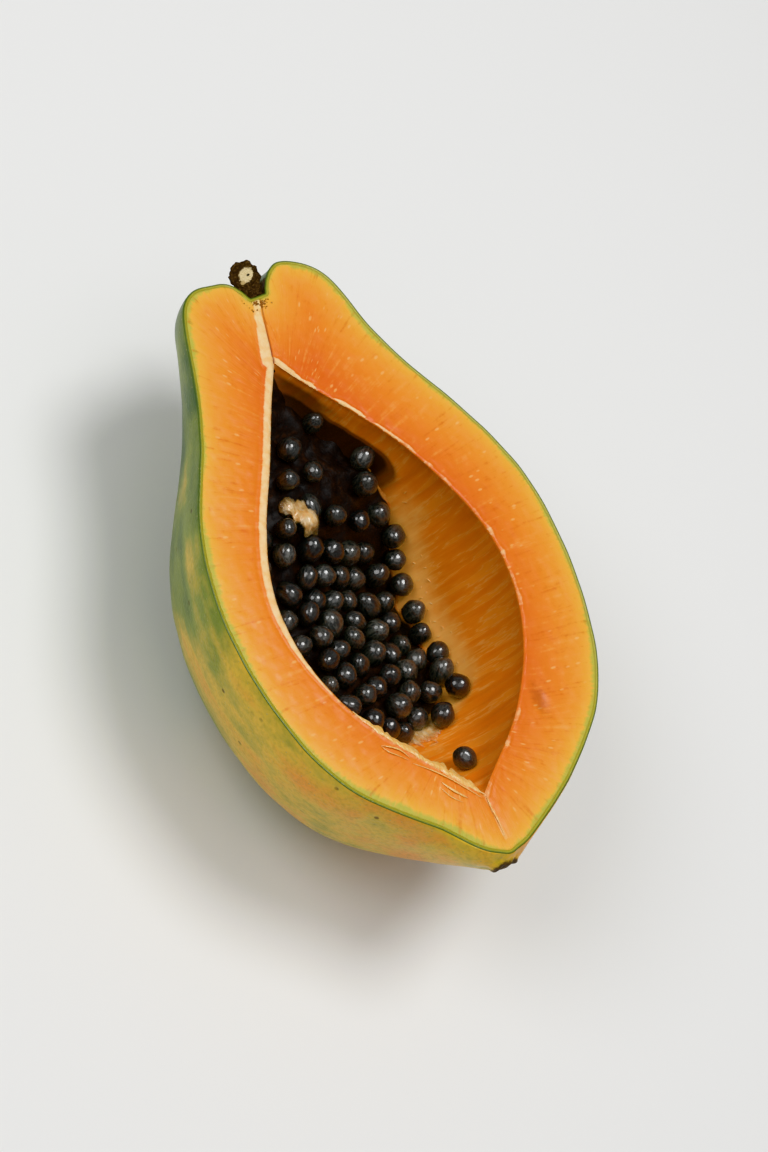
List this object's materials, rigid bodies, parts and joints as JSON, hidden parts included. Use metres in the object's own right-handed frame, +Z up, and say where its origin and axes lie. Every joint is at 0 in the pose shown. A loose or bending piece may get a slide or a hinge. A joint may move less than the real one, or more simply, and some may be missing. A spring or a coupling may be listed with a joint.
{
  "type": "papaya half",
  "caption": "Ripe papaya cut in half lengthways, lying cut face up, pear-shaped, with a hollow chamber partly filled with dark seeds and a short stalk at the narrow end.",
  "frame": {"origin": "under the middle of the bounding box, on the surface that the fruit lies on", "axes": "+X from the stalk to the blossom tip, +Z up out of the cut face, +Y across the fruit towards the side where the chamber's wall is bare"},
  "size_m": [0.1562, 0.0974, 0.0565],
  "materials": {
    "flesh": "satin",
    "skin": "satin",
    "seed": "gloss",
    "stalk": "matte"
  },
  "bodies": {
    "root": {"fruit_half": "flesh", "stalk_stub": "stalk", "seed_heap": "seed", "lone_seed": "seed"}
  },
  "joints": []
}
